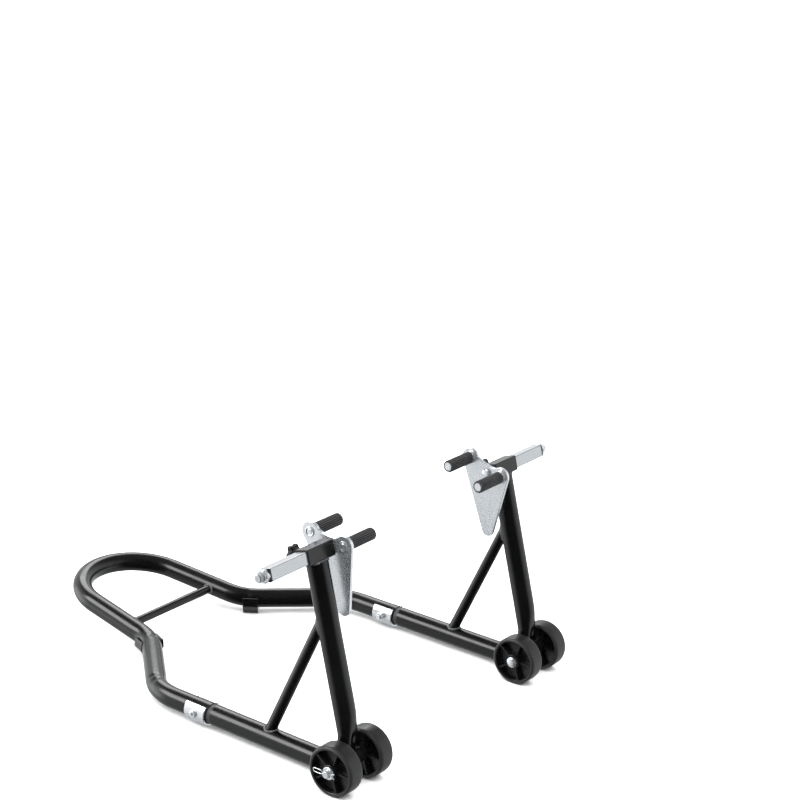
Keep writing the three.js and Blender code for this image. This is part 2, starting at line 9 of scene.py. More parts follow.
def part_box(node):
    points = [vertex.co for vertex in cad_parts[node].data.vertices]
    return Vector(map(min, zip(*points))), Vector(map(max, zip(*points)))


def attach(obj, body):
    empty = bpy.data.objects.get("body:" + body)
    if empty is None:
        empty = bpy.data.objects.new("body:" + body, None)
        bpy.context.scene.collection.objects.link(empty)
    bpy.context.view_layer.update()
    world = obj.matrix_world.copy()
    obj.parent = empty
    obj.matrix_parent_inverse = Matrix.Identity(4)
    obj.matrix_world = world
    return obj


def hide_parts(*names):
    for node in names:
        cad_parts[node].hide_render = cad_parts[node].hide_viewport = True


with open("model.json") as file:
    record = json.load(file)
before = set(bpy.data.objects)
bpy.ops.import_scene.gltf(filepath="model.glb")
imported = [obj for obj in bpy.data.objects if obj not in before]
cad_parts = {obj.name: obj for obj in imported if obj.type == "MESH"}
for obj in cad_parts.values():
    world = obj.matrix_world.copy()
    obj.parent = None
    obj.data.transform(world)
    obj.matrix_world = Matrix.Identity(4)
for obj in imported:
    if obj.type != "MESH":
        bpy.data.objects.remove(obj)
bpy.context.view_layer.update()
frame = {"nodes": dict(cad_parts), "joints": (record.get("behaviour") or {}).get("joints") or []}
scene = bpy.context.scene
JOINTS = {joint["name"]: joint for joint in frame["joints"]}
MM = 0.001
X_AXIS = Vector((1, 0, 0))
Z_AXIS = Vector((0, 0, 1))


def node_centre(name):
    low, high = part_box(name)
    return (low + high) / 2


# ---- Where the CAD puts things ----
TUBE_R = 16.98 * MM
TUBE_WALL = 2 * MM
AXLE = Vector(JOINTS["wheel_outer_right_spin"]["pos_m"])
AXLE_Y = AXLE.y
HALF_TRACK = node_centre("side_frame_right").x
HEAD = Vector(JOINTS["pin_plate_right_swing"]["pos_m"])
KNOB_AXIS = Vector(JOINTS["knob_right_turn"]["axis"]).normalized()
LEAN = math.atan2(-KNOB_AXIS.z, KNOB_AXIS.y)
# Name, sign of X and the tilt of the hanging pin plate in degrees.
SIDES = (("left", -1, 6.0), ("right", 1, 19.0))


def at(x, y, z):
    """A point given in millimetres, with y counted from the axle line, as in the CAD source."""
    return Vector((x * MM, AXLE_Y + y * MM, z * MM))


def placed(centre, x_way, y_way, z_way):
    """A place at centre whose own axes run along the three ways."""
    turn = Matrix((x_way, y_way, z_way)).transposed().to_4x4()
    return Matrix.Translation(centre) @ turn


# ---- Camera ----
CAMERA_PLACE = (-2.33345, -1.91227, 1.4447)
AZIMUTH = math.radians(54.6)
DROP = math.radians(-17.95)
ROLL = math.radians(2.45)
LENS = 87.95


def make_camera():
    """A long lens that looks down on the stand from its wheels' side."""
    forward = Vector((
        math.sin(AZIMUTH) * math.cos(DROP),
        math.cos(AZIMUTH) * math.cos(DROP),
        math.sin(DROP),
    ))
    level = forward.cross(Z_AXIS).normalized()
    upward = level.cross(forward)
    right = math.cos(ROLL) * level + math.sin(ROLL) * upward
    up = math.cos(ROLL) * upward - math.sin(ROLL) * level
    camera = bpy.data.objects.new("camera", bpy.data.cameras.new("camera"))
    camera.data.sensor_width = 36
    camera.data.lens = LENS
    camera.matrix_world = placed(CAMERA_PLACE, right, up, -forward)
    camera.data.clip_start = 0.1
    camera.data.clip_end = 50
    scene.collection.objects.link(camera)
    scene.camera = camera


make_camera()


# ---- Materials ----
class Nodes:
    """Short ways to add and join shader nodes of one material."""

    def __init__(self, name):
        self.material = bpy.data.materials.new(name)
        self.material.use_nodes = True
        self.tree = self.material.node_tree
        self.shader = self.tree.nodes["Principled BSDF"]
        self.where = self.tree.nodes.new("ShaderNodeTexCoord").outputs["Object"]

    def add(self, kind, **values):
        node = self.tree.nodes.new(kind)
        for name, value in values.items():
            setattr(node, name, value)
        return node

    def link(self, source, target):
        self.tree.links.new(source, target)

    def stretch(self, scale):
        mapping = self.add("ShaderNodeMapping")
        mapping.inputs["Scale"].default_value = scale
        self.link(self.where, mapping.inputs["Vector"])
        return mapping.outputs["Vector"]

    def noise(self, scale, detail=3.0, rough=0.55, stretch=(1, 1, 1)):
        node = self.add("ShaderNodeTexNoise")
        node.inputs["Scale"].default_value = scale
        node.inputs["Detail"].default_value = detail
        node.inputs["Roughness"].default_value = rough
        self.link(self.stretch(stretch), node.inputs["Vector"])
        return node.outputs["Fac"]

    def cells(self, scale):
        node = self.add("ShaderNodeTexVoronoi")
        node.inputs["Scale"].default_value = scale
        self.link(self.where, node.inputs["Vector"])
        return node.outputs["Color"]

    def spread(self, source, low, high, start=0.3, end=0.7):
        node = self.add("ShaderNodeMapRange")
        node.inputs["From Min"].default_value = start
        node.inputs["From Max"].default_value = end
        node.inputs["To Min"].default_value = low
        node.inputs["To Max"].default_value = high
        self.link(source, node.inputs["Value"])
        return node.outputs["Result"]

    def mix(self, factor, first, second):
        node = self.add("ShaderNodeMix", data_type="RGBA")
        for socket, value in ((node.inputs[6], first), (node.inputs[7], second)):
            if isinstance(value, tuple):
                socket.default_value = (*value, 1)
            else:
                self.link(value, socket)
        self.link(factor, node.inputs[0])
        return node.outputs[2]

    def edges(self, start=0.52, end=0.62):
        """0 on flat and hollow parts, rising to 1 on outer edges."""
        geometry = self.add("ShaderNodeNewGeometry")
        return self.spread(geometry.outputs["Pointiness"], 0.0, 1.0, start, end)

    def bump(self, height, distance, strength=1.0, under=None):
        node = self.add("ShaderNodeBump")
        node.inputs["Strength"].default_value = strength
        node.inputs["Distance"].default_value = distance
        self.link(height, node.inputs["Height"])
        if under is not None:
            self.link(under, node.inputs["Normal"])
        return node.outputs["Normal"]

    def finish(self, color, roughness, normal, metallic=0.0, ior=1.45):
        self.link(color, self.shader.inputs["Base Color"])
        self.link(roughness, self.shader.inputs["Roughness"])
        self.link(normal, self.shader.inputs["Normal"])
        self.shader.inputs["Metallic"].default_value = metallic
        self.shader.inputs["IOR"].default_value = ior
        return self.material


def powder_coat():
    """Semi-gloss black coat with fine orange peel, rubbed a little grey on edges."""
    n = Nodes("powder_coat_look")
    patches = n.spread(n.noise(14, 4), 0, 1)
    color = n.mix(patches, (0.0012, 0.0012, 0.0013), (0.0026, 0.0026, 0.0027))
    edge_toned = n.mix(n.edges(0.56, 0.7), color, (0.03, 0.03, 0.031))
    roughness = n.spread(n.noise(60, 5), 0.17, 0.25)
    peel = n.bump(n.noise(700, 2), 0.0001, 0.3)
    waves = n.bump(n.noise(40, 2), 0.0006, 0.16, peel)
    return n.finish(edge_toned, roughness, waves, ior=1.5)


def weld_metal():
    """Coated weld metal, uneven and glossy, coloured a little lighter than the coat round it as a
    painted glint.
    """
    n = Nodes("weld_look")
    # The lighter colour is a painted glint on the weld beads, not a different metal.
    color = n.mix(n.noise(300, 3), (0.02, 0.02, 0.021), (0.09, 0.09, 0.092))
    roughness = n.spread(n.noise(200, 3), 0.14, 0.28)
    return n.finish(color, roughness, n.bump(n.noise(700, 3), 0.0002, 0.5), ior=1.6)


def zinc_plate(name, grain, low, high, dark, light, edge):
    """Bright zinc with a soft spangle. grain stretches the fine lines, edge is the edges' colour."""
    n = Nodes(name)
    spangle = n.spread(n.cells(420), 0, 1, 0.2, 0.9)
    color = n.mix(spangle, dark, light)
    # The edges take the edge colour: lighter on the plates, near black on the bars.
    edge_toned = n.mix(n.edges(), color, edge)
    lines = n.noise(260, 4, 0.6, grain)
    roughness = n.spread(lines, low, high, 0.25, 0.75)
    fine = n.bump(lines, 0.00003, 0.15)
    normal = n.bump(n.noise(700, 3), 0.00003, 0.2, fine)
    return n.finish(edge_toned, roughness, normal, metallic=0.9)


def ribbed_rubber():
    """Black rubber, lighter on the crests of its ribs."""
    n = Nodes("rubber_look")
    color = n.mix(n.noise(120, 4), (0.002, 0.002, 0.0021), (0.005, 0.005, 0.0053))
    # The rib crests take a lighter colour.
    light_crests = n.mix(n.edges(0.52, 0.62), color, (0.055, 0.055, 0.057))
    roughness = n.spread(n.noise(300, 3), 0.34, 0.5)
    return n.finish(light_crests, roughness, n.bump(n.noise(1500, 3), 0.0001, 0.3), ior=1.34)


def moulded_plastic(name, dark, light, low, high, edge):
    """Moulded plastic, low to high in roughness, lighter on its edges; on the tread that edge colour
    is a painted highlight ring round its shoulders.
    """
    n = Nodes(name)
    color = n.mix(n.noise(50, 5), dark, light)
    # Edges take the edge colour; on the tread this is a painted highlight.
    lighter_edges = n.mix(n.edges(0.52, 0.66), color, edge)
    roughness = n.spread(n.noise(150, 4), low, high)
    grain = n.bump(n.noise(1600, 3), 0.00015, 0.5)
    return n.finish(lighter_edges, roughness, n.bump(n.noise(90, 2), 0.0003, 0.2, grain))


PLASTIC_DARK = (0.0015, 0.0015, 0.0016)
PLASTIC_LIGHT = (0.004, 0.004, 0.0042)
COAT = powder_coat()
WELD = weld_metal()
ZINC = zinc_plate(
    "zinc_look", (1, 1, 1), 0.2, 0.3, (0.72, 0.75, 0.78), (0.77, 0.795, 0.82), (0.86, 0.87, 0.88))
ZINC_BAR = zinc_plate(
    "zinc_bar_look", (0.05, 1, 1), 0.16, 0.26, (0.78, 0.81, 0.83), (0.83, 0.855, 0.87),
    (0.14, 0.15, 0.155))
RUBBER = ribbed_rubber()
WHEEL = moulded_plastic(
    "wheel_look", PLASTIC_DARK, PLASTIC_LIGHT, 0.2, 0.3, (0.006, 0.006, 0.0063))
# The tread's light edge colour is a painted highlight ring round its shoulders.
TREAD = moulded_plastic(
    "tread_look", (0.005, 0.005, 0.0052), (0.009, 0.009, 0.0093), 0.28, 0.4, (0.07, 0.07, 0.071))
KNOB = moulded_plastic(
    "knob_look", PLASTIC_DARK, PLASTIC_LIGHT, 0.22, 0.34, (0.012, 0.012, 0.0125))
SLOT_LOOKS = {
    "powder_coat": COAT,
    "zinc_plate": ZINC,
    "rubber": RUBBER,
    "wheel_plastic": WHEEL,
    "knob_plastic": KNOB,
}


# ---- Mesh helpers ----
def piece(name, mesh, look, body, replaced=(), smooth_angle=40, bevel=0.0):
    """Links a bmesh as a piece that rides on a body and stands for the CAD nodes named."""
    bmesh.ops.recalc_face_normals(mesh, faces=mesh.faces)
    data = bpy.data.meshes.new(name)
    mesh.to_mesh(data)
    mesh.free()
    thing = bpy.data.objects.new(name, data)
    scene.collection.objects.link(thing)
    data.materials.append(look)
    if bevel > 0:
        add_bevel(thing, bevel)
    shade(thing, math.cos(math.radians(smooth_angle)))
    if bevel > 0:
        thing.modifiers.new("flat faces", "WEIGHTED_NORMAL").keep_sharp = True
        bake_modifiers(thing)
    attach(thing, body)
    if replaced:
        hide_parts(*replaced)
    return thing


def add_bevel(thing, width):
    modifier = thing.modifiers.new("edge", "BEVEL")
    modifier.width = width
    modifier.segments = 3
    modifier.limit_method = "ANGLE"
    modifier.angle_limit = math.radians(35)
    bake_modifiers(thing)


def bake_modifiers(thing):
    depsgraph = bpy.context.evaluated_depsgraph_get()
    baked = bpy.data.meshes.new_from_object(thing.evaluated_get(depsgraph))
    thing.modifiers.clear()
    thing.data = baked


def shade(thing, limit):
    """Smooth shading, with edges sharper than the limit kept sharp."""
    mesh = bmesh.new()
    mesh.from_mesh(thing.data)
    for face in mesh.faces:
        face.smooth = True
    for edge in mesh.edges:
        if len(edge.link_faces) == 2:
            first, second = edge.link_faces
            edge.smooth = first.normal.dot(second.normal) > limit
    mesh.to_mesh(thing.data)
    mesh.free()


def ring_faces(mesh, first, second):
    """Faces between two closed rings."""
    count = len(first)
    for i in range(count):
        j = (i + 1) % count
        mesh.faces.new((first[i], first[j], second[j], second[i]))


def turned(mesh, profile, sides, place, closed=True):
    """Turns a profile of (radius, along) points, in mm, about the X axis of the place matrix."""
    rings = []
    for radius, along in profile:
        if radius < 1e-6:
            tip = mesh.verts.new(place @ Vector((along * MM, 0, 0)))
            rings.append([tip])
            continue
        ring = []
        for i in range(sides):
            angle = 2 * math.pi * i / sides
            spot = Vector((along, radius * math.cos(angle), radius * math.sin(angle))) * MM
            ring.append(mesh.verts.new(place @ spot))
        rings.append(ring)
    pairs = list(zip(rings, rings[1:]))
    if closed:
        pairs.append((rings[-1], rings[0]))
    for first, second in pairs:
        join_rings(mesh, first, second)


def join_rings(mesh, first, second):
    """Faces between two rings, either of which may be a single tip."""
    if len(first) == 1 or len(second) == 1:
        tip, ring = (first[0], second) if len(first) == 1 else (second[0], first)
        for i in range(len(ring)):
            mesh.faces.new((tip, ring[i], ring[(i + 1) % len(ring)]))
        return
    ring_faces(mesh, first, second)


def frames_along(points, reference):
    """Section frames along a line of points: each has its tangent and two square directions."""
    frames = []
    side = None
    for i, point in enumerate(points):
        ahead = points[min(i + 1, len(points) - 1)]
        behind = points[max(i - 1, 0)]
        tangent = (ahead - behind).normalized()
        if side is None:
            side = reference.cross(tangent)
        side = (side - side.dot(tangent) * tangent).normalized()
        frames.append((point, tangent, side, tangent.cross(side)))
    return frames


def swept_tube(mesh, points, section, sides, reference=Z_AXIS, wall=0.0):
    """Sweeps a round section along points. section(i, angle) gives the radius there, in metres.
    With a wall the tube is open at both ends and has an inner face."""
    frames = frames_along(points, reference)
    outer = []
    inner = []
    for i, (point, tangent, side, up) in enumerate(frames):
        ring = []
        bore = []
        for k in range(sides):
            angle = 2 * math.pi * k / sides
            way = math.cos(angle) * side + math.sin(angle) * up
            radius = section(i, angle)
            ring.append(mesh.verts.new(point + way * radius))
            if wall > 0:
                bore.append(mesh.verts.new(point + way * (radius - wall)))
        outer.append(ring)
        inner.append(bore)
    for first, second in zip(outer, outer[1:]):
        ring_faces(mesh, first, second)
    if wall > 0:
        for first, second in zip(inner, inner[1:]):
            ring_faces(mesh, first, second)
        ring_faces(mesh, outer[0], inner[0])
        ring_faces(mesh, outer[-1], inner[-1])
        return
    mesh.faces.new(outer[0])
    mesh.faces.new(outer[-1])


def bent_line(corners, radii, step):
    """Points along straight runs joined by bends, close enough together for a smooth tube."""
    points = [corners[0]]
    for i in range(1, len(corners) - 1):
        into = (corners[i] - corners[i - 1]).normalized()
        out = (corners[i + 1] - corners[i]).normalized()
        turn = into.angle(out)
        radius = radii[i - 1]
        start = corners[i] - into * radius * math.tan(turn / 2)
        side = (out - into * math.cos(turn)).normalized()
        count = max(3, round(radius * turn / step))
        for k in range(count + 1):
            angle = turn * k / count
            along = into * radius * math.sin(angle)
            points.append(start + along + side * radius * (1 - math.cos(angle)))
    points.append(corners[-1])
    return dense(points, step)


def dense(points, step):
    """The same line with long straight runs cut into steps."""
    filled = [points[0]]
    for first, second in zip(points, points[1:]):
        count = max(1, round((second - first).length / step))
        for k in range(1, count + 1):
            filled.append(first.lerp(second, k / count))
    return filled


def outline_prism(mesh, rings, low, high, place):
    """Extrudes closed outlines of (u, v) points in mm along X, the first outside, others holes."""
    made = []
    for along in (low, high):
        layer = []
        for ring in rings:
            layer.append([mesh.verts.new(place @ (Vector((along, u, v)) * MM)) for u, v in ring])
        made.append(layer)
    for first, second in zip(made[0], made[1]):
        ring_faces(mesh, first, second)
    for layer in made:
        edges = []
        for ring in layer:
            for i in range(len(ring)):
                edge = mesh.edges.get((ring[i], ring[(i + 1) % len(ring)]))
                edges.append(edge)
        bmesh.ops.triangle_fill(mesh, use_beauty=True, use_dissolve=True, edges=edges)


def arc(cx, cy, radius, start, end, count):
    """Points of an arc, with angles in degrees."""
    points = []
    for k in range(count + 1):
        angle = math.radians(start + (end - start) * k / count)
        points.append((cx + radius * math.cos(angle), cy + radius * math.sin(angle)))
    return points


def circle(cx, cy, radius):
    return arc(cx, cy, radius, 0, 360, 32)[:-1]


FLAT_STRIP = 1.0


def rounded_square(half, corner, count):
    """A square with round corners and a narrow flat strip beside each, in mm."""
    inset = half - corner
    flat = inset - FLAT_STRIP
    points = arc(inset, inset, corner, 0, 90, count) + [(flat, half), (-flat, half)]
    points += arc(-inset, inset, corner, 90, 180, count) + [(-half, flat), (-half, -flat)]
    points += arc(-inset, -inset, corner, 180, 270, count) + [(-flat, -half), (flat, -half)]
    points += arc(inset, -inset, corner, 270, 360, count) + [(half, -flat), (half, flat)]
    return points


def side_place(sign, y, z, tilt=0.0, x=0.0):
    """Puts a piece drawn for the right side, along +X, at (y, z); the left one is its mirror."""
    mirror = Matrix.Diagonal((sign, 1, 1, 1))
    turn = Matrix.Rotation(tilt, 4, "X")
    return Matrix.Translation((0, y, z)) @ mirror @ Matrix.Translation((x, 0, 0)) @ turn


# ---- Tube lines, as the CAD lays them out ----
HEEL = at(0, -10, 20.5)
SHOULDER = at(0, 390, 25)
FLARE = at(117.5, 523.5, 27.5)
FLARE_BEND = 90 * MM
LOOP_BEND = 100.5 * MM
HEEL_BEND = 52 * MM
TAPER = math.radians(6.8)
RISE = 0.127
LEG_RUN = FLARE.x / math.tan(TAPER)
LOOP_CORNER = Vector((0, FLARE.y + LEG_RUN, FLARE.z + LEG_RUN * RISE))
ARM_SLOPE = (SHOULDER.z - HEEL.z) / (SHOULDER.y - HEEL.y)
# Along the arm, in mm from the axle line.
ARM_END = 266
HANDLE_END = 274.6
SADDLE_Y = 295.6
PATH_STEP = 3 * MM
TUBE_SIDES = 48
LEAN_WAY = Vector((0, math.sin(LEAN), math.cos(LEAN)))


def arm_point(sign, y):
    """The arm's centre line at y mm from the axle."""
    height = HEEL.z + ARM_SLOPE * (at(0, y, 0).y - HEEL.y)
    return Vector((sign * HALF_TRACK, at(0, y, 0).y, height))


def shoulder(sign):
    """Where the arm's line meets the line of the flare."""
    return Vector((sign * HALF_TRACK, SHOULDER.y, SHOULDER.z))


def flare(sign):
    """Where the line of the flare meets the handle's leg."""
    return Vector((sign * FLARE.x, FLARE.y, FLARE.z))


def leg_point(sign, y):
    """The handle leg's centre line at y mm from the axle."""
    run = at(0, y, 0).y - FLARE.y
    return Vector((sign * (FLARE.x - run * math.tan(TAPER)), FLARE.y + run, FLARE.z + run * RISE))


def heel(sign):
    """Where the arm's line meets the upright's."""
    return Vector((sign * HALF_TRACK, HEEL.y, HEEL.z))


def handle_line():
    corners = [
        arm_point(-1, HANDLE_END), shoulder(-1), flare(-1), LOOP_CORNER,
        flare(1), shoulder(1), arm_point(1, HANDLE_END),
    ]
    bends = [FLARE_BEND, FLARE_BEND, LOOP_BEND, FLARE_BEND, FLARE_BEND]
    return bent_line(corners, bends, PATH_STEP)


def dent(point, centre, reach):
    """1 at the centre of a dent, fading to 0 over its reach in mm."""
    return math.exp(-(((point - centre).length / (reach * MM)) ** 2))


SHOULDER_FOLD = 0.9
FLARE_FOLD = 2.3
SQUEEZE = 1.1 * MM
SQUEEZE_REACH = 26


def handle_folds():
    """Folds beside the bends: centre, reach and depth in mm, and the angle round the tube."""
    folds = []
    for sign in (-1, 1):
        run = (flare(sign) - shoulder(sign)).normalized()
        across = SHOULDER_FOLD - sign * math.pi
        folds.append((shoulder(sign) + run * (14 * MM), 5, 2.4, SHOULDER_FOLD))
        folds.append((shoulder(sign) + run * (26 * MM), 4, 1.6, SHOULDER_FOLD))
        folds.append((shoulder(sign) + run * (20 * MM), 4, 1.4, across))
        folds.append((flare(sign) - run * (10 * MM), 5, 2.4, FLARE_FOLD))
        folds.append((flare(sign) + run * (4 * MM), 4, 2.0, FLARE_FOLD))
    return folds


def handle_section(points):
    """Radius of the handle tube: bends squeezed a little, with folds in the metal beside them."""
    folds = handle_folds()

    def radius(i, angle):
        point = points[i]
        value = TUBE_R
        for corner in (shoulder(-1), shoulder(1), flare(-1), flare(1)):
            pressed = dent(point, corner, SQUEEZE_REACH)
            value -= SQUEEZE * pressed * (0.5 + 0.5 * math.cos(2 * angle))
        for centre, reach, depth, where in folds:
            turned_to = max(0.0, math.cos(angle - where)) ** 3
            value -= depth * MM * dent(point, centre, reach) * turned_to
        return value

    return radius


def make_handle():
    points = handle_line()
    mesh = bmesh.new()
    swept_tube(mesh, points, handle_section(points), TUBE_SIDES, wall=TUBE_WALL)
    piece("handle_tube", mesh, COAT, "frame", ["handle_loop"])


PRESS_DEPTH = 7.5 * MM
PRESS_REACH = 48
DIMPLE_DEPTH = 2.6 * MM
DIMPLE_HEIGHT = 75
DIMPLE_REACH = 6.5


def heel_section(points):
    """Radius of the side tube: its outside is pressed in round the heel bend, with a dimple."""
    def radius(i, angle):
        y = (points[i].y - AXLE_Y) / MM
        z = points[i].z / MM
        press = math.exp(-((math.hypot(y + 2, z - 52) / PRESS_REACH) ** 4))
        outside = max(0.0, -math.sin(angle))
        value = TUBE_R - PRESS_DEPTH * press * outside ** 1.3
        if z > 60:
            dimple = math.exp(-(((z - DIMPLE_HEIGHT) / DIMPLE_REACH) ** 2))
            value -= DIMPLE_DEPTH * dimple * outside ** 8
        return value

    return radius


def make_side_frame(name, sign):
    top = HEAD - LEAN_WAY * (12.8 * MM)
    corners = [arm_point(sign, ARM_END), heel(sign), Vector((sign * HALF_TRACK, top.y, top.z))]
    points = bent_line(corners, [HEEL_BEND], PATH_STEP)
    mesh = bmesh.new()
    swept_tube(mesh, points, heel_section(points), TUBE_SIDES, wall=TUBE_WALL)
    piece(f"side_tube_{name}", mesh, COAT, "frame", [f"side_frame_{name}"])


# ---- Braces and welds ----
BRACE_SIDES = 28
CROSS_BRACE_R = 7.5 * MM
DIAGONAL_R = 9 * MM
BRACE_WELD = 2.5
RECEIVER_WELD = 2.1


def coped_ring(centre, way, thick_way, radius):
    """The closed line where a thin tube running along way meets the thick tube round centre."""
    side = way.orthogonal().normalized()
    up = way.cross(side)
    line = []
    for k in range(BRACE_SIDES):
        angle = 2 * math.pi * k / BRACE_SIDES
        offset = radius * (math.cos(angle) * side + math.sin(angle) * up)
        line.append(meet(centre + offset, way, centre, thick_way, TUBE_R + 0.1 * MM))
    return line


def make_brace(name, first_end, second_end, radius, node):
    """A thin tube between two thick ones. Each end is (centre, direction of the thick tube)."""
    (a, a_way), (b, b_way) = first_end, second_end
    way = (b - a).normalized()
    low = coped_ring(a, way, a_way, radius)
    high = match_ring(low, coped_ring(b, -way, b_way, radius), way)
    mesh = bmesh.new()
    made = []
    for share in (0, 0.02, 0.25, 0.5, 0.75, 0.98, 1):
        made.append([mesh.verts.new(p.lerp(q, share)) for p, q in zip(low, high)])
    for first, second in zip(made, made[1:]):
        ring_faces(mesh, first, second)
    mesh.faces.new(made[0])
    mesh.faces.new(made[-1])
    piece(name, mesh, COAT, "frame", [node])
    weld_bead(f"{name}_weld_a", low, BRACE_WELD, way)
    weld_bead(f"{name}_weld_b", high, BRACE_WELD, -way)


def match_ring(first, second, way):
    """The second ring in the order that runs straight across from the first."""
    matched = []
    for point in first:
        flat = [(q - point) - (q - point).dot(way) * way for q in second]
        nearest = min(range(len(second)), key=lambda k: flat[k].length)
        matched.append(second[nearest])
    return matched


def meet(start, way, main_point, main_way, main_radius):
    """Where a line from start along way leaves the tube round the main line."""
    base = start - main_point
    flat_base = base - base.dot(main_way) * main_way
    flat_way = way - way.dot(main_way) * main_way
    a = flat_way.length_squared
    b = flat_base.dot(flat_way)
    c = flat_base.length_squared - main_radius ** 2
    root = math.sqrt(max(b * b - a * c, 0))
    return start + way * ((-b + root) / a)


def weld_bead(name, line, size, away, ripples=24):
    """A rippled bead along a closed line. size is its radius in mm, away its reference way."""
    points = closed_resample(line, ripples * 4)
    mesh = bmesh.new()
    rings = []
    count = len(points)
    for i, point in enumerate(points):
        tangent = (points[(i + 1) % count] - points[i - 1]).normalized()
        side = away.cross(tangent).normalized()
        up = tangent.cross(side)
        wave = 0.86 + 0.14 * math.cos(2 * math.pi * i / 4) + 0.08 * math.sin(i * 0.7)
        ring = []
        reach = size * MM * wave
        for k in range(10):
            angle = 2 * math.pi * k / 10
            ring.append(mesh.verts.new(
                point + reach * (math.cos(angle) * side + math.sin(angle) * up)))
        rings.append(ring)
    for i in range(count):
        ring_faces(mesh, rings[i], rings[(i + 1) % count])
    piece(name, mesh, WELD, "frame", smooth_angle=70)


def closed_resample(line, count):
    lengths = [0.0]
    for i in range(len(line)):
        lengths.append(lengths[-1] + (line[(i + 1) % len(line)] - line[i]).length)
    points = []
    step = 0
    for k in range(count):
        target = lengths[-1] * k / count
        while lengths[step + 1] < target:
            step += 1
        share = (target - lengths[step]) / max(lengths[step + 1] - lengths[step], 1e-9)
        points.append(line[step].lerp(line[(step + 1) % len(line)], share))
    return points


def arm_way():
    return (arm_point(1, 200) - arm_point(1, 100)).normalized()


def make_cross_brace():
    leg_ways = {s: (leg_point(s, 700) - leg_point(s, 560)).normalized() for s in (-1, 1)}
    brace_y = (node_centre("cross_brace").y - AXLE_Y) / MM
    make_brace(
        "handle_brace",
        (leg_point(-1, brace_y), leg_ways[-1]),
        (leg_point(1, brace_y), leg_ways[1]),
        CROSS_BRACE_R, "cross_brace")


def make_diagonals():
    way = arm_way()
    for name, sign, _ in SIDES:
        foot = at(0, 154.5, 39.4)
        top = at(0, 72.6, 223.3)
        run = (top - foot).normalized()
        start = Vector((sign * HALF_TRACK, foot.y, foot.z))
        low = line_meets_line(start, run, arm_point(sign, 100), way)
        high = line_meets_line(start, run, heel(sign), LEAN_WAY)
        make_brace(
            f"diagonal_{name}", (low, way), (high, LEAN_WAY), DIAGONAL_R, f"side_brace_{name}")


def line_meets_line(point, way, other, other_way):
    """Where two lines in the same YZ plane cross, on the first one."""
    det = way.y * -other_way.z + way.z * other_way.y
    gap = other - point
    share = (gap.y * -other_way.z + gap.z * other_way.y) / det
    return point + way * share


# ---- Feet ----
FOOT_TURN = {"left": 22, "right": -36}
FOOT_Z = 27.4 * MM
FOOT_HALF = 13.5


def make_foot(name):
    """A clip round the lower half of the tube, tapering to the pad it stands on."""
    middle = node_centre(f"foot_{name}")
    centre = Vector((middle.x, middle.y, FOOT_Z))
    angle = math.radians(FOOT_TURN[name])
    along = Vector((-math.sin(angle), -math.cos(angle), 0))
    across = Vector((-along.y, along.x, 0))
    drop = centre.z / MM
    right = [(6.9, -drop), (7.6, 1.2 - drop), (11.6, -19.4), (12.8, -18)]
    right += [(19.6, -10.4), (20.9, -7.8), (20.1, 5.6), (19.4, 6.2)]
    left = [(-u, v) for u, v in reversed(right)]
    outline = arc(0, 0, 17.4, 18, -198, 32) + left + right
    mesh = bmesh.new()
    place = placed(centre, along, across, Z_AXIS)
    outline_prism(mesh, [outline], -FOOT_HALF, FOOT_HALF, place)
    piece(f"clip_{name}", mesh, COAT, "frame", [f"foot_{name}"], bevel=0.6 * MM)


# ---- Arm joint ----
STRAP_INNER = 17.3
STRAP_OUTER = 20.3
STRAP_HALF = 20


def make_joint(name, sign):
    """The rubber sleeve inside both tubes, with the collar that shows between them."""
    way = arm_way()
    centre = (arm_point(sign, ARM_END) + arm_point(sign, HANDLE_END)) / 2
    place = placed(centre, way, X_AXIS, way.cross(X_AXIS))
    fit = 14.3
    profile = [
        (fit - 3, -42), (fit - 0.6, -42), (fit, -41.2), (fit, -4), (15.2, -4), (15.7, -3.5),
        (15.7, 3.5), (15.2, 4), (fit, 4), (fit, 41.2), (fit - 0.6, 42), (fit - 3, 42),
    ]
    mesh = bmesh.new()
    turned(mesh, profile, 48, place)
    piece(f"joint_ring_{name}", mesh, RUBBER, "frame", [f"joint_sleeve_{name}"])


def make_saddle(name, sign):
    """The strap round the handle's end, open at the top, with its bolt and nut."""
    way = arm_way()
    centre = arm_point(sign, SADDLE_Y)
    place = placed(centre, way, X_AXIS, X_AXIS.cross(way))
    outline = arc(0, 0, STRAP_OUTER, -228, 48, 56) + arc(0, 0, STRAP_INNER, 48, -228, 56)
    mesh = bmesh.new()
    outline_prism(mesh, [outline], -STRAP_HALF, STRAP_HALF, place)
    piece(f"strap_{name}", mesh, ZINC, "frame", [f"saddle_{name}"], bevel=0.7 * MM)
    make_saddle_bolt(name, sign, centre)


def make_saddle_bolt(name, sign, centre):
    """The bolt with its low socket head towards the middle of the stand, and its nut."""
    place = Matrix.Translation(centre) @ Matrix.Diagonal((-sign, 1, 1, 1))
    face = -20.6
    mesh = bmesh.new()
    head = [(0, face + 0.8), (2.9, face + 0.8), (2.9, face - 2.9), (5.2, face - 3)]
    head += [(6.2, face - 2.4), (6.9, face - 1.2), (7, face), (4, face)]
    head += [(4, 29), (3.4, 29.6), (0, 29.6)]
    turned(mesh, head, 36, place, closed=False)
    thread(mesh, place, 3.6, 4.15, 21, 28.6, 1.25)
    piece(f"strap_bolt_{name}", mesh, ZINC, "frame", [f"saddle_bolt_{name}"])
    mesh = bmesh.new()
    hex_nut(mesh, place, 13, 20.6, 27.1, 4.3)
    piece(f"strap_nut_{name}", mesh, ZINC, "frame", [f"saddle_nut_{name}"])


def thread(mesh, place, root, crest, start, end, pitch):
    """Rounded thread rings over a bolt's shank."""
    profile = [(root - 0.5, start)]
    along = start
    while along + pitch <= end:
        profile += [(root, along), (crest, along + pitch * 0.5)]
        along += pitch
    profile += [(root, along), (root - 0.5, along)]
    turned(mesh, profile, 32, place)


